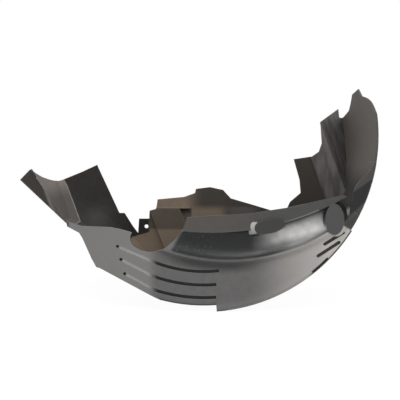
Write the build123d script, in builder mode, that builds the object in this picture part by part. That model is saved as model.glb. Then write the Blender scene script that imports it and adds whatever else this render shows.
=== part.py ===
"""A wheel arch liner, moulded as one sheet, lying on its crown with the wheel's space open above it.

X runs along the car, Y along the wheel's axis and away from the near wall, and Z up.
Angles are measured about the wheel's axis from straight down, towards +X.
Outlines give X and Z from the wheel's centre, and points give X, Y and Z from it.
"""
from build123d import *
from math import asin, atan2, cos, degrees, hypot, radians, sin, tan
import os

os.makedirs("parts", exist_ok=True)

# Sheet and arch: the tread steps out at the crown and in again where the right arm starts
sheet = 3.0
arch_radius = 426.0
arch_step = 16.0
step_angle = 4.3
arm_step = 5.0
arm_angle = 58.0
right_end_angle = 112.0
straight_angle = -61.0
straight_length = 160.0
channel_width = 340.0
tread_draft = 3.0
near_fold_radius = 12.0
arm_fold_radius = 5.0
wall_reach = 310.0

# Far wall, as its plan seen along the folds, which lean by this angle
fold_lean = 21.0
far_depth = 270.0
left_panel_run = 240.0
left_panel_start = -290.0
left_panel_slope = 35.0
block_left = -212.0
block_right = -138.0
block_depth = 16.0
right_panel_start = 165.0
panel_end = (254.0, 230.0)
ridge_outer = (262.0, 216.0)
ridge_inner = (306.0, 188.0)
right_corner = (410.0, 335.0)

# Facets: planes through three points. The one across the far left corner has them as depth, run and height
# over the tread where the straight starts, and the other one leans the left near wall
far_corner = [(199, 79, 20), (123, -46, 19), (253, -103, 80)]
near_facet = [(-130, 0, -294), (-108, 0, -387), (-300, 14, -225)]
left_chord = [(-256, -316), (-108, -393)]
left_dent = [(-261, -318), (-274, -294), (-296, -244), (-304, -231), (-340, -212), (-360, -203)]
dent_depth = 120.0

# Near rim, which starts beside the left arm, there as run and height over the tread
near_rim_arm = [(200, 7), (2, 7)]
near_rim_left = [(-326, -206), (-298, -214), (-226, -216), (-200, -221), (-174, -228)]
notch_rim = [(-174, -228), (-175, -256), (-149, -273), (-106, -271), (-70, -247), (-41, -192)]
near_rim_right = [(-41, -192), (110, -183), (206, -168), (336, -137), (354, -144), (357, -168), (360, -137)]
flap_rim = [(360, -137), (371, -108), (394, -84), (411, -58)]
near_rim_inset = 30.0
near_rim_depth = 60.0
right_near_angle = 82.0

# Far rim
far_rim_left = [(-299, -78), (-239, -212), (-225, -213), (-202, -250), (-187, -270)]
tab_rim = [(-184, -229), (-155, -229)]
far_rim_middle = [(-154, -206), (-135, -201), (-131, -174), (-56, -167), (-25, -156), (-22, -144), (18, -139)]
far_rim_dip = [(55, -147), (77, -171), (145, -191), (191, -205), (226, -224), (245, -182), (273, -154)]
far_rim_right = [(269, -117), (252, -59), (297, -51), (314, -37), (320, -14), (314, 43)]
far_peak = 84.0
far_rim_start = 130.0

# Ends: the left one as depth and run along the straight stretch, the right one as depth and height
left_end = [(-80, 190), (20, 139), (45, 124), (71, 112), (117, 99), (142, 94), (225, 82), (300, 76)]
right_corner_end = [(-40, 14), (0, 50), (14, 70), (28, 86), (64, 101), (90, 106)]
right_end = [(90, 106), (102, 125), (112, 123), (163, 115), (196, 93), (225, 75), (285, 60), (380, 50)]
right_end_inset = 38.0

# Lip along the near edge of the left arm, as depth, run and height over the tread where the straight starts,
# and the gap beside it as X and Y from there
lip_tip = (-17, 125, -18)
lip_head = (20, 138, 4)
lip_foot = (68, -28, 7)
left_gap = [(30, 0), (12, 62), (-64, 16), (-121, 13)]

# Cove, pressed in the near wall round an axis of its own, and the strip above it, which is flatter
cove_x = 60.0
cove_z = 161.0
cove_radius = 458.0
cove_left = -108.0
cove_right = 353.0
cove_start_angle = -22.0
cove_end_angle = 42.0
ridge_rise = 8.0
cove_drop = 15.0
cove_width = 78.0
strip_x = 20.0
strip_sink = 9.0
strip_radius = 645.0
strip_width = 59.0
strip_edge_rise = 4.0
strip_drop = 16.0
strip_overlap = 2.0

# Tab hole, flange and ledge
tab_hole_radius = 5.5
tab_hole_spot = (-163, -251)
flange_spot = (-94, -192)
flange_width = 112.0
flange_height = 84.0
ledge_height = -197.0

# Left beads: the start of a straight stretch, the angles where it bends and where it ends, and its radius
bead_width = 8.0
bead_depth = 4.0
left_beads = [
    ((-210, -263), -23.8, 6.6, 323),
    ((-202, -295), -20.9, 5.0, 356),
    ((-193, -330), -18.0, 4.5, 387),
]

# Right beads: two straight ones by their ends, and one on the fold by its start and end angles and its turn
right_beads = [((293, -256), (337, -228)), ((277, -285), (327, -252))]
fold_bead_start = 39.0
fold_bead_end = 46.0
fold_bead_turn = 25.0

# Pods
pod_length = 74.0
pod_width = 32.0
pod_turn = 10.0
pod_spot = (158, -211)
pod_rise = 16.0
pod_run = -8.0
pod_fall = 4.0
pod_stretch = 12.0
pod_spread = 4.0
boss_width = 44.0
boss_height = 74.0
boss_spot = (312, -194)
boss_rise = 18.0
boss_turn = 22.0
boss_run = 14.0
boss_fall = 5.0
boss_spread = 7.0
pod_back = 16.0

# Derived
axle_height = arch_radius
left_radius = arch_radius - arch_step
arm_radius = arch_radius - arm_step
axle = Axis((0, 0, axle_height), (0, -1, 0))
cove_axis = Axis((cove_x, 0, axle_height + cove_z), (0, -1, 0))
cove_top_radius = cove_radius - cove_width
strip_z = cove_z - cove_top_radius - strip_sink + strip_radius
strip_axis = Axis((strip_x, 0, axle_height + strip_z), (0, -1, 0))
strip_start_angle = degrees(asin((cove_left - strip_overlap - strip_x) / strip_radius))
strip_end_angle = degrees(asin((cove_right + strip_overlap - strip_x) / strip_radius))
near_rim_end = arch_radius - near_rim_inset
right_end_start = arch_radius - right_end_inset
right_end_top = max(height for depth, height in right_end)
reach = 2 * arch_radius
clear = 80.0


def radial_plane(angle, x=0.0, z=0.0):
    """A plane through an axis along Y: its x is the depth Y and its y the radius at this angle."""
    turn = radians(angle)
    return Plane(origin=(x, 0, axle_height + z), x_dir=(0, 1, 0), z_dir=(-cos(turn), 0, -sin(turn)))


def wheel_plane(depth):
    """A plane square to the wheel's axis at this depth, with its origin on the axis."""
    return Plane(origin=(0, depth, axle_height), x_dir=(1, 0, 0), z_dir=(0, -1, 0))


def from_axle(point):
    """A point given from the wheel's centre, as a vector in the model."""
    return Vector(*point) + Vector(0, 0, axle_height)


def facet_plane(points, outward):
    """A plane through three points, with its normal on the side of this direction."""
    first, second, third = points
    normal = (second - first).cross(third - first).normalized()
    if normal.dot(Vector(*outward)) < 0:
        normal = -normal
    return Plane(origin=first, x_dir=second - first, z_dir=normal)


def far_corner_plane():
    """The facet across the far left corner."""
    corners = [left_end_plane().from_local_coords(Vector(*point)) for point in far_corner]
    return facet_plane(corners, (0, 1, 0))


def near_facet_plane():
    """The facet that leans the left near wall."""
    return facet_plane([from_axle(point) for point in near_facet], (0, -1, 0))


def left_end_plane():
    """A plane on the tread where the straight stretch starts: its x is the depth Y and its y the run."""
    turn = radians(straight_angle)
    start = from_axle((left_radius * sin(turn), 0, -left_radius * cos(turn)))
    return Plane(origin=start, x_dir=(0, 1, 0), z_dir=(-sin(turn), 0, cos(turn)))


def channel_section(plane, radius, fold_radius, inset):
    """The filled half of the channel between its near wall, its tread and its far wall."""
    far_radius = radius - channel_width * tan(radians(tread_draft))
    inner_radius = radius - wall_reach - 2 * inset
    with BuildSketch(plane) as section:
        Polygon((0, inner_radius), (0, radius), (channel_width, far_radius), (channel_width, inner_radius))
        fillet(section.vertices().sort_by(Axis.Y)[-1], fold_radius)
        if inset:
            offset(amount=-inset, mode=Mode.REPLACE)
    return section.sketch


def grown_outline(plane, points, inset):
    """An outline on this plane, grown by the inset with sharp corners."""
    with BuildSketch(plane) as outline:
        Polygon(*points)
        if inset:
            offset(amount=inset, kind=Kind.INTERSECTION, mode=Mode.REPLACE)
    return outline.sketch


def channel_core(inset):
    """The block that fills the liner out to its outer face, or to its inner face when inset is the sheet."""
    lap = degrees(inset / arch_radius)
    lean = radians(fold_lean)
    along_fold = (-sin(lean), 0, cos(lean))
    fold_plane = Plane(origin=(0, 0, axle_height), x_dir=(cos(lean), 0, sin(lean)), z_dir=along_fold)
    left_panel_drop = left_panel_run * tan(radians(left_panel_slope))
    left_section = channel_section(radial_plane(straight_angle), left_radius, near_fold_radius, inset)
    right_section = channel_section(radial_plane(step_angle + lap), arch_radius, near_fold_radius, inset)
    arm_section = channel_section(radial_plane(arm_angle - lap), arm_radius, arm_fold_radius, inset)
    far_wall = [
        (left_panel_start - left_panel_run, far_depth - left_panel_drop),
        (left_panel_start, far_depth),
        (block_left, far_depth),
        (block_left, far_depth - block_depth),
        (block_right, far_depth - block_depth),
        (block_right, far_depth),
        (right_panel_start, far_depth),
        panel_end,
        ridge_outer,
        ridge_inner,
        right_corner,
        (reach, right_corner[1]),
        (reach, reach),
        (left_panel_start - left_panel_run, reach),
    ]
    dent = [*left_dent, (-reach, left_dent[-1][1]), (-reach, left_dent[0][1])]
    chord = [*left_chord, (left_chord[1][0], -reach), (-reach, -reach), (-reach, left_chord[0][1])]
    with BuildPart() as core:
        revolve(left_section, axis=axle, revolution_arc=step_angle + lap - straight_angle)
        revolve(right_section, axis=axle, revolution_arc=arm_angle - step_angle - 2 * lap)
        revolve(arm_section, axis=axle, revolution_arc=right_end_angle - arm_angle + 2 * lap)
        extrude(left_section, amount=straight_length + inset)
        extrude(grown_outline(fold_plane, far_wall, inset), amount=reach, both=True, mode=Mode.SUBTRACT)
        extrude(
            grown_outline(wheel_plane(-clear), dent, inset),
            amount=-clear - dent_depth - inset,
            mode=Mode.SUBTRACT,
        )
        extrude(grown_outline(wheel_plane(-clear), chord, inset), amount=-2 * reach, mode=Mode.SUBTRACT)
        for facet in (far_corner_plane(), near_facet_plane()):
            with BuildSketch(facet.offset(-inset)):
                Rectangle(4 * reach, 4 * reach)
            extrude(amount=reach, mode=Mode.SUBTRACT)
    return core.part


def bead(start, end, depth, radius, turn, inside):
    """A pressed groove on the near wall or its fold, or the thicker rib that lies behind it."""
    width = bead_width + 2 * sheet * inside
    height = bead_depth + sheet
    shift = height / 2 if inside else bead_depth - height / 2
    with BuildPart() as pressed:
        with BuildSketch(radial_plane(start)):
            with Locations(Location((depth, radius, 0), (0, 0, -turn))):
                with Locations((shift, 0)):
                    Rectangle(height, width)
        revolve(axis=axle, revolution_arc=end - start)
    return pressed.part


def straight_bead(plane, start, end, inside):
    """The straight stretch of a bead on this plane, or the thicker rib that lies behind it."""
    height = bead_depth + sheet
    ends = [plane.to_local_coords(from_axle((x, 0, z))) for x, z in (start, end)]
    middle = (ends[0] + ends[1]) / 2
    run = ends[1] - ends[0]
    with BuildPart() as pressed:
        with BuildSketch(plane.offset(0 if inside else sheet)):
            with Locations(Location((middle.X, middle.Y, 0), (0, 0, degrees(atan2(run.Y, run.X))))):
                SlotCenterToCenter(hypot(run.X, run.Y), bead_width + 2 * sheet * inside)
        extrude(amount=-height)
    return pressed.part


def all_beads(inside):
    """Every bead of the near wall, as a list of its grooves or of its ribs."""
    beads = []
    for start, bend, end, radius in left_beads:
        knee = (radius * sin(radians(bend)), -radius * cos(radians(bend)))
        beads.append(straight_bead(near_facet_plane(), start, knee, inside))
        beads.append(bead(bend, end, 0, radius, 0, inside))
    for start, end in right_beads:
        beads.append(straight_bead(wheel_plane(0), start, end, inside))
    depth = near_fold_radius * (1 - cos(radians(fold_bead_turn)))
    radius = arch_radius - near_fold_radius * (1 - sin(radians(fold_bead_turn)))
    beads.append(bead(fold_bead_start, fold_bead_end, depth, radius, fold_bead_turn, inside))
    return beads


def behind(point):
    """The matching point one sheet behind this one."""
    return (point[0] + sheet, point[1])


def cove_band():
    """The swept band of the cove: its ridge and its hollow, one sheet thick, up to the strip."""
    foot = (0, cove_radius + sheet + ridge_rise)
    ridge = (-ridge_rise, cove_radius)
    hollow = (cove_drop, (cove_radius + cove_top_radius) / 2)
    top = (-strip_edge_rise, cove_top_radius)
    with BuildPart() as band:
        with BuildSketch(radial_plane(cove_start_angle, cove_x, cove_z)):
            with BuildLine():
                Line(foot, ridge)
                ThreePointArc(ridge, hollow, top)
                Line(top, behind(top))
                ThreePointArc(behind(top), behind(hollow), behind(ridge))
                Polyline(behind(ridge), behind(foot), foot)
            make_face()
        revolve(axis=cove_axis, revolution_arc=cove_end_angle - cove_start_angle)
        with BuildSketch(wheel_plane(-clear)):
            with Locations((strip_x, strip_z)):
                Circle(strip_radius - sheet / 2)
        extrude(amount=-2 * clear, mode=Mode.SUBTRACT)
    return band.part


def strip_band():
    """The swept strip above the cove, one sheet thick, with the skirt that meets the cove's hollow."""
    inner_radius = strip_radius - sheet
    skirt_depth = cove_drop + sheet / 2
    edge = (-strip_edge_rise, strip_radius)
    end = (strip_drop, strip_radius - strip_width)
    corner = (-strip_edge_rise + sheet + (strip_edge_rise + strip_drop) * sheet / strip_width, inner_radius)
    with BuildPart() as band:
        with BuildSketch(radial_plane(strip_start_angle, strip_x, strip_z)):
            Polygon(edge, end, behind(end), corner, (skirt_depth, inner_radius), (skirt_depth, strip_radius))
        revolve(axis=strip_axis, revolution_arc=strip_end_angle - strip_start_angle)
    return band.part


def pod_body(inset):
    """The long pod, from its flat face to its wider foot, or the hollow one sheet inside it."""
    with BuildPart() as body:
        with BuildSketch(wheel_plane(inset - pod_rise)):
            with Locations(pod_spot):
                SlotOverall(pod_length - 2 * inset, pod_width - 2 * inset, rotation=pod_turn)
        with BuildSketch(wheel_plane(pod_back + inset)):
            with Locations((pod_spot[0] + pod_run, pod_spot[1] - pod_fall)):
                SlotOverall(
                    pod_length + 2 * pod_stretch - 2 * inset,
                    pod_width + 2 * pod_spread - 2 * inset,
                    rotation=pod_turn,
                )
        loft()
    return body.part


def boss_body(inset):
    """The round pod, from its turned face to its foot, or the hollow one sheet inside it."""
    turn = radians(boss_turn)
    face_plane = Plane(
        origin=(boss_spot[0], inset - boss_rise, axle_height + boss_spot[1]),
        x_dir=(cos(turn), -sin(turn), 0),
        z_dir=(-sin(turn), -cos(turn), 0),
    )
    with BuildPart() as body:
        with BuildSketch(face_plane):
            Ellipse(boss_width / 2 - inset, boss_height / 2 - inset)
        with BuildSketch(wheel_plane(pod_back + inset)):
            with Locations((boss_spot[0] + boss_run, boss_spot[1] - boss_fall)):
                Ellipse(boss_width / 2 + boss_spread - inset, boss_height / 2 + boss_spread - inset)
        loft()
    return body.part


# Liner: the channel first, then what is pressed into it, then its trimmed edges
filled_channel = channel_core(0)
with BuildPart() as liner:
    add(filled_channel)
    add(channel_core(sheet), mode=Mode.SUBTRACT)
    add(all_beads(True))
    add(filled_channel, mode=Mode.INTERSECT)
    add(all_beads(False), mode=Mode.SUBTRACT)

    # Cove
    with BuildSketch(wheel_plane(-clear)):
        with Locations((cove_x, cove_z)):
            Circle(cove_radius)
        with Locations(((cove_left + cove_right) / 2, 0)):
            Rectangle(cove_right - cove_left, 2 * reach, mode=Mode.INTERSECT)
    extrude(amount=-clear - near_rim_depth, mode=Mode.SUBTRACT)
    add(cove_band())
    add(strip_band())

    # Pods
    add(pod_body(0))
    add(boss_body(0))
    add(pod_body(sheet), mode=Mode.SUBTRACT)
    add(boss_body(sheet), mode=Mode.SUBTRACT)

    # Near rim
    arm_corners = [left_end_plane().from_local_coords(Vector(0, *point)) for point in near_rim_arm]
    near_rim_start = [(corner.X, corner.Z - axle_height) for corner in arm_corners]
    with BuildSketch(wheel_plane(-clear)):
        with BuildLine():
            Polyline(*near_rim_start, *near_rim_left)
            Spline(*notch_rim)
            Polyline(*near_rim_right)
            Spline(*flap_rim)
            Polyline(
                flap_rim[-1],
                (near_rim_end, flap_rim[-1][1]),
                (near_rim_end, reach),
                (near_rim_start[0][0], reach),
                near_rim_start[0],
            )
        make_face()
    extrude(amount=-clear - near_rim_depth, mode=Mode.SUBTRACT)
    with BuildSketch(radial_plane(right_near_angle)):
        with Locations((0, arch_radius)):
            Rectangle(2 * arm_fold_radius, 2 * wall_reach)
    revolve(axis=axle, revolution_arc=180 - right_near_angle, mode=Mode.SUBTRACT)
    with BuildSketch(Plane.XY):
        with Locations((left_end_plane().origin.X, 0)):
            Polygon(*left_gap, (left_gap[-1][0], -clear), (left_gap[0][0], -clear))
    extrude(amount=2 * reach, mode=Mode.SUBTRACT)

    # Flange behind the block of the far wall, and the ledge between them
    with BuildSketch(wheel_plane(far_depth)):
        with Locations(flange_spot):
            Rectangle(flange_width, flange_height)
    extrude(amount=sheet)
    with BuildSketch(wheel_plane(far_depth - block_depth)):
        with Locations((flange_spot[0], ledge_height)):
            Rectangle(flange_width, sheet)
    extrude(amount=-block_depth)
    with BuildSketch(wheel_plane(far_depth - sheet)):
        with Locations((flange_spot[0], ledge_height + flange_height)):
            Rectangle(flange_width, 2 * flange_height - sheet)
    extrude(amount=block_depth, mode=Mode.SUBTRACT)

    # Far rim
    with BuildSketch(wheel_plane(far_rim_start)):
        Polygon(
            *far_rim_left,
            *tab_rim,
            *far_rim_middle,
            *far_rim_dip,
            *far_rim_right,
            (right_end_start, far_peak),
            (right_end_start, reach),
            (far_rim_left[0][0], reach),
        )
    extrude(amount=-reach, mode=Mode.SUBTRACT)
    with BuildSketch(wheel_plane(far_depth)):
        with Locations(tab_hole_spot):
            Circle(tab_hole_radius)
    extrude(amount=clear, both=True, mode=Mode.SUBTRACT)

    # Lip
    lip_points = (lip_head, lip_foot, lip_tip)
    lip_corners = [left_end_plane().from_local_coords(Vector(*point)) for point in lip_points]
    lip_plane = facet_plane(lip_corners, (-1, 0, -1))
    with BuildSketch(lip_plane):
        Polygon(*[lip_plane.to_local_coords(corner) for corner in lip_corners])
    extrude(amount=sheet)

    # Ends
    with BuildSketch(left_end_plane().offset(-clear)):
        Polygon(*left_end, (left_end[-1][0], reach), (left_end[0][0], reach))
    extrude(amount=reach, mode=Mode.SUBTRACT)
    with BuildSketch(Plane(origin=(right_end_start, 0, axle_height), x_dir=(0, 1, 0), z_dir=(1, 0, 0))):
        with BuildLine():
            Spline(*right_corner_end)
            Polyline(
                *right_end,
                (right_end[-1][0], reach),
                (right_corner_end[0][0], reach),
                right_corner_end[0],
            )
        make_face()
    extrude(amount=reach, mode=Mode.SUBTRACT)
    with BuildSketch(Plane.XY.offset(axle_height + right_end_top)):
        Rectangle(2 * reach, 2 * reach)
    extrude(amount=reach, mode=Mode.SUBTRACT)

# The liner with its origin under the middle of its bounding box
box = liner.part.bounding_box()
with BuildPart() as wheel_arch_liner:
    with Locations((-box.center().X, -box.center().Y, -box.min.Z)):
        add(liner.part)

wheel_arch_liner.part.label = "wheel_arch_liner"
export_step(wheel_arch_liner.part, "parts/wheel_arch_liner.step")
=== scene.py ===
# %% [markdown]
# # A wheel arch liner on a pale floor
# The liner is one moulded sheet of black plastic, and its solid is already packed as the frame of this
# scene. This lesson loads that frame, sets a camera where the photograph was taken, and dresses the sheet
# with dust and rubbed edges, and with painted sheen, highlights and shade.

# %% Load the imported liner
import math

import bmesh
import bpy
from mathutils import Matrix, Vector

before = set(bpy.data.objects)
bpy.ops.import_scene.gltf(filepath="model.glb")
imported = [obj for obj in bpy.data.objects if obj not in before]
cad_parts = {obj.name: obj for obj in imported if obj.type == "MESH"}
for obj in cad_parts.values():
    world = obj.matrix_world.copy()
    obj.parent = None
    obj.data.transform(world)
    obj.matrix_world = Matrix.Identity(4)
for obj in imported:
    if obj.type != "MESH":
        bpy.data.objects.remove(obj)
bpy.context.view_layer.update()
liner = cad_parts["wheel_arch_liner"]

# %% [markdown]
# The photograph looks along the wheel's axis, from the height of the axle and a little down.
# A camera could be aimed by hand, but here the axle's own vanishing point in the picture fixes its turn,
# and the arch's curve fixes its distance.

# %% Camera
PICTURE_WIDTH = 400
SENSOR_WIDTH = 36.0
FOCAL_PIXELS = 620.0
AXLE_X = 0.0083
AXLE_Z = 0.4242
AXLE_IN_PICTURE = (203.7, 138.1)
NEAR_WALL_Y = -0.1434
CAMERA_DISTANCE = 1.488
PITCH = math.radians(2.9)

camera_data = bpy.data.cameras.new("camera")
camera_data.sensor_width = SENSOR_WIDTH
camera_data.lens = FOCAL_PIXELS / PICTURE_WIDTH * SENSOR_WIDTH
camera = bpy.data.objects.new("camera", camera_data)
bpy.context.collection.objects.link(camera)
camera.location = (AXLE_X, NEAR_WALL_Y - CAMERA_DISTANCE, AXLE_Z)
camera.rotation_euler = (math.pi / 2 - PITCH, 0.0, 0.0)
camera_data.shift_x = (PICTURE_WIDTH / 2 - AXLE_IN_PICTURE[0]) / PICTURE_WIDTH
camera_data.shift_y = (AXLE_IN_PICTURE[1] + FOCAL_PIXELS * math.tan(PITCH)) / PICTURE_WIDTH - 0.5
bpy.context.scene.camera = camera
print("camera shift:", camera_data.shift_x, camera_data.shift_y)

# %% [markdown]
# Shader maths is easier to read as a formula than as a web of nodes. A small class wraps one socket, so
# that Python's own operators add the Math nodes, and one method adds any other node by its type.

# %% Wires for shaders
class Wire:
    """One socket of a node tree. Operators on it add Math nodes."""

    def __init__(self, tree, socket=None):
        self.tree = tree
        self.socket = socket

    def add(self, kind, settings=(), sockets=(), output=0):
        """Add a node: its settings first, then the values or wires of its sockets."""
        made = self.tree.nodes.new(kind)
        for name, value in dict(settings).items():
            setattr(made, name, value)
        for key, value in dict(sockets).items():
            if isinstance(value, Wire):
                self.tree.links.new(value.socket, made.inputs[key])
            else:
                made.inputs[key].default_value = value
        return Wire(self.tree, made.outputs[output] if len(made.outputs) else None)

    def other(self, output):
        """Another output of the node that this wire leaves."""
        return Wire(self.tree, self.socket.node.outputs[output])

    def math(self, operation, first, second=0.0):
        """Add a Math node by its operation."""
        return self.add("ShaderNodeMath", {"operation": operation}, {0: first, 1: second})

    def __add__(self, value):
        return self.math("ADD", self, value)

    def __radd__(self, value):
        return self.math("ADD", value, self)

    def __sub__(self, value):
        return self.math("SUBTRACT", self, value)

    def __rsub__(self, value):
        return self.math("SUBTRACT", value, self)

    def __mul__(self, value):
        return self.math("MULTIPLY", self, value)

    def __rmul__(self, value):
        return self.math("MULTIPLY", value, self)


print("wires ready")

# %% [markdown]
# Most masks are a value that rises or falls over a short range, which is what a Map Range node does. A few
# helpers say that in one word, and one more blends two colours by a mask.

# %% Helpers for masks and finishes
def new_finish(name):
    """An empty material and a wire into its node tree."""
    finish = bpy.data.materials.new(name)
    finish.use_nodes = True
    finish.node_tree.nodes.clear()
    return finish, Wire(finish.node_tree)


def rise(value, low, high):
    """0 below low, 1 above high, and a smooth rise between them."""
    return value.add(
        "ShaderNodeMapRange",
        {"interpolation_type": "SMOOTHSTEP"},
        {"Value": value, "From Min": low, "From Max": high},
    )


def fall(value, low, high):
    """1 below low, 0 above high, and a smooth fall between them."""
    return 1 - rise(value, low, high)


def band(value, low, high, soft):
    """1 between low and high, fading to 0 over a soft edge at both."""
    return rise(value, low - soft, low + soft) * fall(value, high - soft, high + soft)


def blend(share, first, second):
    """The first colour where the share is 0 and the second where it is 1."""
    return share.add("ShaderNodeMix", {"data_type": "RGBA"}, {0: share, 6: first, 7: second}, output=2)


def seen_directly(wire):
    """1 for a ray from the camera, off a gloss or through glass, and 0 for a ray that brings light."""
    path = wire.add("ShaderNodeLightPath", output="Is Camera Ray")
    glossy = wire.math("MAXIMUM", path, path.other("Is Glossy Ray"))
    return wire.math("MAXIMUM", glossy, path.other("Is Transmission Ray"))


print("helpers ready")

# %% [markdown]
# The photograph has a plain white ground. A large floor takes the liner's soft shadow, and Light Path keeps
# what the camera sees of it white, without more light on the plastic. The world does the same behind it.

# %% Floor
FLOOR_SIZE = 12.0
FLOOR_GREY = (0.8, 0.8, 0.8, 1)
FLOOR_ROUGHNESS = 0.9
FLOOR_GLOW = 1.04
FLOOR_WHITE_SHARE = 0.92
WHITE = (1, 1, 1, 1)

floor_mesh = bpy.data.meshes.new("floor")
floor_shape = bmesh.new()
bmesh.ops.create_grid(floor_shape, x_segments=1, y_segments=1, size=FLOOR_SIZE)
floor_shape.to_mesh(floor_mesh)
floor_shape.free()
floor = bpy.data.objects.new("floor", floor_mesh)
bpy.context.collection.objects.link(floor)

floor_finish, wire = new_finish("pale_floor")
matt = wire.add(
    "ShaderNodeBsdfPrincipled",
    sockets={"Base Color": FLOOR_GREY, "Roughness": FLOOR_ROUGHNESS},
)
white = wire.add("ShaderNodeEmission", sockets={"Color": WHITE, "Strength": FLOOR_GLOW})
white_share = seen_directly(wire) * FLOOR_WHITE_SHARE
ground = wire.add("ShaderNodeMixShader", sockets={0: white_share, 1: matt, 2: white})
wire.add("ShaderNodeOutputMaterial", sockets={"Surface": ground})
floor_mesh.materials.append(floor_finish)
print("floor half width in metres:", FLOOR_SIZE)

# %% [markdown]
# The world lights the liner evenly from all round, at about half the strength of the white that shows. The
# view transform is Standard, so a colour shows as it is written.

# %% World
WORLD_LIGHT = 0.55
BACKDROP_LIGHT = 1.0

world = bpy.data.worlds.new("studio")
world.use_nodes = True
world.node_tree.nodes.clear()
wire = Wire(world.node_tree)
room = wire.add("ShaderNodeBackground", sockets={"Color": WHITE, "Strength": WORLD_LIGHT})
backdrop = wire.add("ShaderNodeBackground", sockets={"Color": WHITE, "Strength": BACKDROP_LIGHT})
sky = wire.add("ShaderNodeMixShader", sockets={0: seen_directly(wire), 1: room, 2: backdrop})
wire.add("ShaderNodeOutputWorld", sockets={"Surface": sky})
bpy.context.scene.world = world
bpy.context.scene.view_settings.view_transform = "Standard"
print("world light:", WORLD_LIGHT)

# %% [markdown]
# Two soft lamps light the liner. The key hangs above and to the left, and the fill lifts the right arm.
# Both are wide squares, because a wide lamp makes a soft shadow, and both point at the liner's middle.

# %% Lamps
LAMP_TARGET = Vector((0, 0, 0.2))
LAMPS = (
    ("key", (-0.45, -1.1, 1.75), 0.8, 22.0),
    ("fill", (1.3, -1.1, 1.5), 1.2, 12.0),
)

for name, spot, size, power in LAMPS:
    lamp_data = bpy.data.lights.new(name, "AREA")
    lamp_data.size = size
    lamp_data.energy = power
    lamp = bpy.data.objects.new(name, lamp_data)
    lamp.location = spot
    lamp.rotation_euler = (LAMP_TARGET - Vector(spot)).to_track_quat("-Z", "Y").to_euler()
    bpy.context.collection.objects.link(lamp)
print("lamps:", len(LAMPS))

# %% [markdown]
# The plastic is the same all over, but a used liner is not: its outside wall has a grey film, its cove is
# still dark and glossy, and road dust has settled on the side that faces the tyre. Sheen, highlights and
# shade are painted into the colour as well. Painting masks by hand would need a UV map, so the masks here
# are formulas of the place and the facing of each point, in metres from the wheel's centre on the near wall.

# %% Where a point of the liner lies
plastic, wire = new_finish("dusty_black_plastic")
place = wire.add("ShaderNodeTexCoord", output="Object")
facing = wire.add("ShaderNodeNewGeometry", output="True Normal")
from_axle = wire.add(
    "ShaderNodeVectorMath",
    {"operation": "SUBTRACT"},
    {0: place, 1: (AXLE_X, NEAR_WALL_Y, AXLE_Z)},
)
across = wire.add("ShaderNodeSeparateXYZ", sockets={0: from_axle}, output="X")
depth = across.other("Y")
height = across.other("Z")
facing_x = wire.add("ShaderNodeSeparateXYZ", sockets={0: facing}, output="X")
facing_y = facing_x.other("Y")
facing_z = facing_x.other("Z")
print("places: across, depth and height from the axle, and the facing of the face")

# %% [markdown]
# The arch, the cove and the strip above the cove each curve round an axis of their own, so a distance from
# that axis tells how far out a point lies on it. The pod and the boss are ovals, and for them the distance
# is stretched along one axis.

# %% Distances
COVE_AXIS = (0.060, 0.161)
STRIP_AXIS = (0.020, 0.417)


def distance(x, z):
    """How far a point lies from an axis along the wheel's own, at this place across and in height."""
    aside = across - x
    above = height - z
    return wire.math("SQRT", aside * aside + above * above)


def oval(centre, tilt, stretch):
    """A distance from a centre, multiplied along an axis that rises to the right by a tilt in degrees."""
    turn = math.radians(tilt)
    aside = across - centre[0]
    above = height - centre[1]
    along = stretch * (math.cos(turn) * aside + math.sin(turn) * above)
    over = math.cos(turn) * above - math.sin(turn) * aside
    return wire.math("SQRT", along * along + over * over)


axle_distance = distance(0.0, 0.0)
cove_distance = distance(*COVE_AXIS)
strip_distance = distance(*STRIP_AXIS)
print("axes of the cove and the strip:", COVE_AXIS, STRIP_AXIS)

# %% [markdown]
# The near wall is flat on the right and leans back on the left of a bend, so a point's depth is taken from
# the wall's own face there. What lies in front of that face, or just behind it without facing the tyre, is
# the near side. The rest is the tyre's side where it faces inwards.

# %% Near side and tyre side
TYRE_DEPTH = 0.13
LEAN = 0.0936

left_of_bend = -0.973 * across - 0.23 * height - 0.194
wall_depth = depth - wire.math("MAXIMUM", LEAN * left_of_bend, 0.0)
facing_near = fall(facing_y, -0.45, -0.25)
not_facing_far = fall(facing_y, 0.1, 0.3)
near_front = wire.math(
    "MAXIMUM",
    facing_near * fall(depth, 0.03, 0.06),
    not_facing_far * fall(wall_depth, 0.008, 0.012),
)
inward = (TYRE_DEPTH - depth) * facing_y - across * facing_x - height * facing_z
faces_tyre = wire.math("MAXIMUM", rise(inward, -0.02, 0.02), facing_near * rise(depth, 0.03, 0.06))
tyre_side = faces_tyre * (1 - near_front)
near_side = (1 - tyre_side) * fall(depth, 0.03, 0.05)
print("sides: near, tyre")

# %% [markdown]
# Dust and film are never even. Noise at three sizes breaks them up: clouds as wide as a hand, mottling as
# wide as a finger, and specks as small as sand.

# %% Unevenness
def noise(scale, detail, where=place):
    """A noise value over the surface, about 0.5 in the middle."""
    return wire.add("ShaderNodeTexNoise", sockets={"Vector": where, "Scale": scale, "Detail": detail})


clouds = rise(noise(9.0, 3.0), 0.3, 0.7)
mottle = rise(noise(55.0, 4.0), 0.3, 0.7)
specks = rise(noise(420.0, 2.0), 0.62, 0.74)
print("noise: clouds, mottle, specks")

# %% [markdown]
# The sheet's edges are rubbed pale, and a painted highlight along them stands for the light that they catch.
# The Bevel node rounds the normal near a sharp edge, so wherever the rounded normal leaves the plain one
# there is an edge, and no mesh has to change for it.

# %% Edges
EDGE_WIDTH = 0.0016

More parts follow.
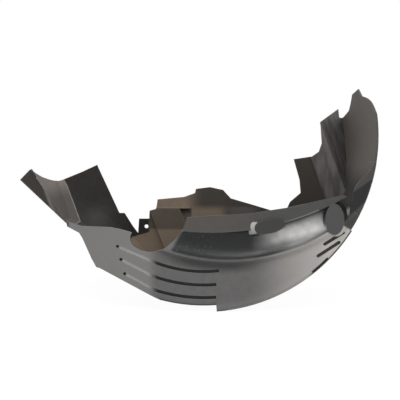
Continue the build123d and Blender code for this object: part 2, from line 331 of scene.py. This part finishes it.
plain = wire.add("ShaderNodeNewGeometry", output="Normal")
rounded = wire.add("ShaderNodeBevel", {"samples": 6}, {"Radius": EDGE_WIDTH})
agreement = wire.add(
    "ShaderNodeVectorMath",
    {"operation": "DOT_PRODUCT"},
    {0: plain, 1: rounded},
    output="Value",
)
edge = rise(1 - agreement, 0.02, 0.16)
print("edge width in metres:", EDGE_WIDTH)

# %% [markdown]
# The near wall has a grey film and is paler low on the wall, and a painted sheen over the film grows towards
# the right arm. The left panel is painted paler, as painted light on the panel that leans to the left.
# Painted shade lies under the cove's ridge, the wall is darker past the step on the right arm, and the lip
# on the left is nearly black.

# %% Film, painted sheen and painted shade on the near wall
LIP_SLOPE = 0.289

past_step = rise(0.53 * across + 0.848 * height, -0.003, 0.003)
left_panel = fall(across, -0.14, -0.11)
right_film_and_sheen = rise(across, 0.1, 0.29)
arm_film_and_sheen = rise(across, 0.27, 0.33) * fall(height, -0.235, -0.19)
low_on_wall = rise(axle_distance, 0.395, 0.425)
shade_under_ridge = band(cove_distance, 0.46, 0.482, 0.012) * band(across, -0.08, 0.12, 0.06)
lip_run = 0.875 * height - 0.485 * across
lip = fall(depth + LIP_SLOPE * lip_run, 0.059, 0.062) * fall(across, -0.335, -0.325)
print("film: step, left panel, right, arm, low, under the ridge, lip")

# %% [markdown]
# The cove is a pressed hollow, nearly clean, with a dusty strip above it. Its right half shines in the
# photograph. Lamps bright enough for that also whiten the strip and the pod, so the shine is a painted
# highlight instead. Painted highlights also lie on the right of the cove's ridge and on the pod's left end.

# %% Cove, strip and pods
COVE_EDGE = 0.452
STRIP_EDGE = 0.641
BOSS_CENTRE = (0.312, -0.194)
POD_CENTRE = (0.158, -0.211)

cove_start = rise(0.849 * across - 0.527 * height, 0.0705, 0.0805)
cove = cove_start * fall(cove_distance, COVE_EDGE, 0.457) * rise(strip_distance, STRIP_EDGE, 0.646)
cove_middle = band(strip_distance, 0.657, 0.693, 0.012)
cove_sheen = cove * cove_middle * rise(across, 0.11, 0.2) * fall(across, 0.28, 0.31)
ridge_highlight = band(cove_distance, 0.444, 0.456, 0.004) * band(across, 0.2, 0.28, 0.04)
strip = fall(strip_distance, STRIP_EDGE, 0.645) * band(across, -0.115, 0.36, 0.01)
boss_face = fall(oval(BOSS_CENTRE, 0.0, 1.68), 0.036, 0.039)
pod_face = fall(oval(POD_CENTRE, 13.0, 0.45), 0.0155, 0.0185)
pod_end_highlight = band(across, 0.09, 0.13, 0.005) * fall(facing_x, -0.6, -0.4) * rise(strip_distance, 0.62, 0.63)
print("cove, sheen, ridge, strip, boss and pod")

# %% [markdown]
# The beads are grooves that stiffen the wall. A point that lies deeper than the wall's face, outside the
# cove, is in a groove. The grooves are painted dark as shade. Those on the left panel get a painted
# highlight, painted shade along their edges and a painted shadow where they start.

# %% Beads
BEAD_STARTS = ((-0.210, -0.263), (-0.202, -0.295), (-0.193, -0.330))

outside_cove = rise(cove_distance, 0.458, 0.463)
left_field = rise(axle_distance, 0.3, 0.305) * fall(across, 0.055, 0.06)
groove = rise(wall_depth, 0.0015, 0.003) * left_field * outside_cove
right_groove = rise(wall_depth, 0.001, 0.0025) * outside_cove * rise(across, 0.25, 0.27)
bead_starts = sum(fall(distance(x, z), 0.003, 0.006) for x, z in BEAD_STARTS)
print("bead starts:", len(BEAD_STARTS))

# %% [markdown]
# A layer is a mask and a colour, and the layers are laid on one after another, as a painter would: the film
# first, then the cove and its strip, and the beads, boss, pod and lip over them.

# %% Near side layers
near_layers = [
    (0.85 + 0.15 * mottle, (0.108, 0.105, 0.104, 1)),
    (low_on_wall, (0.15, 0.146, 0.144, 1)),
    # Grey film with a painted sheen over it, growing towards the right arm
    (right_film_and_sheen * (0.85 + 0.15 * clouds), (0.36, 0.344, 0.327, 1)),
    (arm_film_and_sheen * (0.7 + 0.3 * clouds), (0.5, 0.48, 0.45, 1)),
    # Painted light on the left panel, which leans to the left
    (left_panel * (0.8 + 0.2 * clouds), (0.165, 0.161, 0.157, 1)),
    # Painted shade under the cove's ridge
    (shade_under_ridge, (0.03, 0.029, 0.028, 1)),
    (past_step, (0.042, 0.04, 0.038, 1)),
    (cove, (0.008, 0.0085, 0.0095, 1)),
    (cove * specks * fall(across, -0.02, 0.12) * 0.7, (0.16, 0.16, 0.165, 1)),
    # Painted highlight in the cove's right half
    (cove_sheen * (0.8 + 0.2 * mottle), (0.58, 0.572, 0.567, 1)),
    # Painted highlight on the right of the cove's ridge
    (ridge_highlight, (0.12, 0.117, 0.114, 1)),
    (strip, (0.04, 0.039, 0.038, 1)),
    (strip * fall(across, 0.02, 0.2) * (0.6 + 0.4 * clouds), (0.05, 0.043, 0.038, 1)),
    # Painted shade in the grooves, and on the left panel a painted highlight, edge shade and a shadow at
    # each start
    (groove, (0.01, 0.01, 0.01, 1)),
    (groove * left_panel, (0.42, 0.415, 0.41, 1)),
    (groove * left_panel * edge, (0.03, 0.03, 0.03, 1)),
    (groove * bead_starts, (0.01, 0.01, 0.01, 1)),
    # Painted shade in the grooves on the right
    (right_groove, (0.03, 0.029, 0.028, 1)),
    (boss_face, (0.055, 0.055, 0.054, 1)),
    (pod_face, (0.03, 0.029, 0.028, 1)),
    # Painted highlight on the pod's left end
    (pod_end_highlight, (0.42, 0.415, 0.41, 1)),
    (lip, (0.016, 0.0125, 0.0095, 1)),
]
print("near side layers:", len(near_layers))

# %% [markdown]
# On the tyre's side the dust is brown. It is thick in the bowl under the notch, and thinner on the far wall,
# whose flange and top stay darker.

# %% Bowl and far wall
bowl = band(across, -0.215, 0.06, 0.02)
on_far_wall = rise(depth, 0.2, 0.23)
far_top = on_far_wall * rise(height, -0.21, -0.185) * rise(across, -0.06, 0.0)
far_low = on_far_wall * band(across, 0.07, 0.15, 0.02) * fall(height, -0.2, -0.19)
flange_face = rise(depth, 0.24, 0.245) * fall(facing_y, -0.8, -0.6)
flange = flange_face * band(across, -0.155, -0.035, 0.004) * band(height, -0.257, -0.198, 0.005)
print("bowl, far top, far low, flange")

# %% [markdown]
# On the left arm the tread is brown and the far corner is painted nearly black as shade, with a spot of
# painted highlight on it and a thin painted highlight line where they meet. The line is painted where the
# photograph has it, a little to the right of the solid's own crease.
# The right arm's panel is streaked along its length, by noise that is stretched along the height.

# %% Left and right arms
STREAK_STRETCH = (60.0, 60.0, 6.0)
CORNER_HIGHLIGHT = (-0.288, -0.214)

past_crease = 0.881 * across + 0.473 * height + 0.391
crease = band(past_crease, 0.0022, 0.0038, 0.0006)
left_tread = fall(past_crease, 0.0025, 0.0035)
over_bowl = rise(height - 0.29 * across, -0.2243, -0.2203)
left_corner = over_bowl * rise(past_crease, 0.0025, 0.0035) * fall(across, -0.16, -0.15)
corner_highlight = left_corner * fall(distance(*CORNER_HIGHLIGHT), 0.0, 0.05)
right_panel = rise(across + 0.36 * height, 0.274, 0.279) * fall(facing_y, -0.4, -0.3)
right_tread = rise(across, 0.3, 0.32) * rise(facing_y, -0.4, -0.3)
stretched = wire.add("ShaderNodeVectorMath", {"operation": "MULTIPLY"}, {0: place, 1: STREAK_STRETCH})
streaks = rise(noise(1.0, 3.0, stretched), 0.35, 0.65)
print("arms: crease, left tread, left corner, right panel, right tread, streaks")

# %% [markdown]
# The brown dust is laid on in the same way, from the thinnest coat to the places that stand out from it,
# together with the painted shade and highlights of the left arm.

# %% Tyre side layers
tyre_layers = [
    (1.0, (0.03, 0.026, 0.022, 1)),
    (bowl * (0.65 + 0.25 * clouds + 0.1 * mottle), (0.18, 0.138, 0.102, 1)),
    (flange * (0.6 + 0.3 * clouds), (0.045, 0.037, 0.03, 1)),
    (far_top, (0.04, 0.034, 0.028, 1)),
    (far_low, (0.07, 0.064, 0.057, 1)),
    # Painted shade on the far corner
    (left_corner, (0.009, 0.0078, 0.0068, 1)),
    # Painted highlight on the far corner
    (corner_highlight, (0.03, 0.027, 0.025, 1)),
    (left_tread, (0.07, 0.062, 0.056, 1)),
    (left_tread * rise(height, -0.16, -0.11) * (0.6 + 0.4 * clouds), (0.17, 0.15, 0.135, 1)),
    # Painted highlight along the crease
    (crease * (0.4 + 0.4 * mottle), (0.26, 0.24, 0.22, 1)),
    (right_panel, (0.075, 0.069, 0.066, 1)),
    (right_panel * streaks, (0.13, 0.122, 0.118, 1)),
    (right_tread, (0.11, 0.1, 0.09, 1)),
    (right_tread * fall(height, -0.14, -0.06), (0.03, 0.028, 0.026, 1)),
]
print("tyre side layers:", len(tyre_layers))

# %% [markdown]
# All the layers are laid on the black plastic in turn, each on its own side, and the rubbed edges with their
# painted highlight come last.

# %% Colour
BLACK = (0.012, 0.012, 0.013, 1)
EDGE_WEAR_AND_HIGHLIGHT = (0.24, 0.23, 0.22, 1)

colour = BLACK
for side, layers in ((near_side, near_layers), (tyre_side, tyre_layers)):
    for share, paint in layers:
        colour = blend(side * share, colour, paint)
# Pale edges: wear and a painted highlight
rubbed_and_lit = edge * (0.35 + 0.35 * mottle) * (1 - near_side * (cove + strip + groove))
colour = blend(rubbed_and_lit, colour, EDGE_WEAR_AND_HIGHLIGHT)
print("colour layers:", len(near_layers) + len(tyre_layers) + 1)

# %% [markdown]
# The mould leaves a fine grain, and the thin sheet is never quite flat. Two Bump nodes in a row give both,
# and the roughness changes with the dirt: the clean cove is smooth, the dusty side is dull.

# %% Roughness and grain
PLASTIC_IOR = 1.4

roughness = 0.5 - 0.22 * near_side * (cove + strip) + 0.2 * tyre_side + 0.08 * mottle
waves = wire.add(
    "ShaderNodeBump",
    sockets={"Strength": 0.25, "Distance": 0.003, "Height": noise(16.0, 1.0)},
)
grain = wire.add(
    "ShaderNodeBump",
    sockets={"Strength": 0.2, "Distance": 0.0004, "Height": noise(800.0, 2.0), "Normal": waves},
)
skin = wire.add(
    "ShaderNodeBsdfPrincipled",
    sockets={"Base Color": colour, "Roughness": roughness, "Normal": grain, "IOR": PLASTIC_IOR},
)
wire.add("ShaderNodeOutputMaterial", sockets={"Surface": skin})

for slot in liner.material_slots:
    slot.material = plastic
print("liner slots:", [slot.material.name for slot in liner.material_slots])
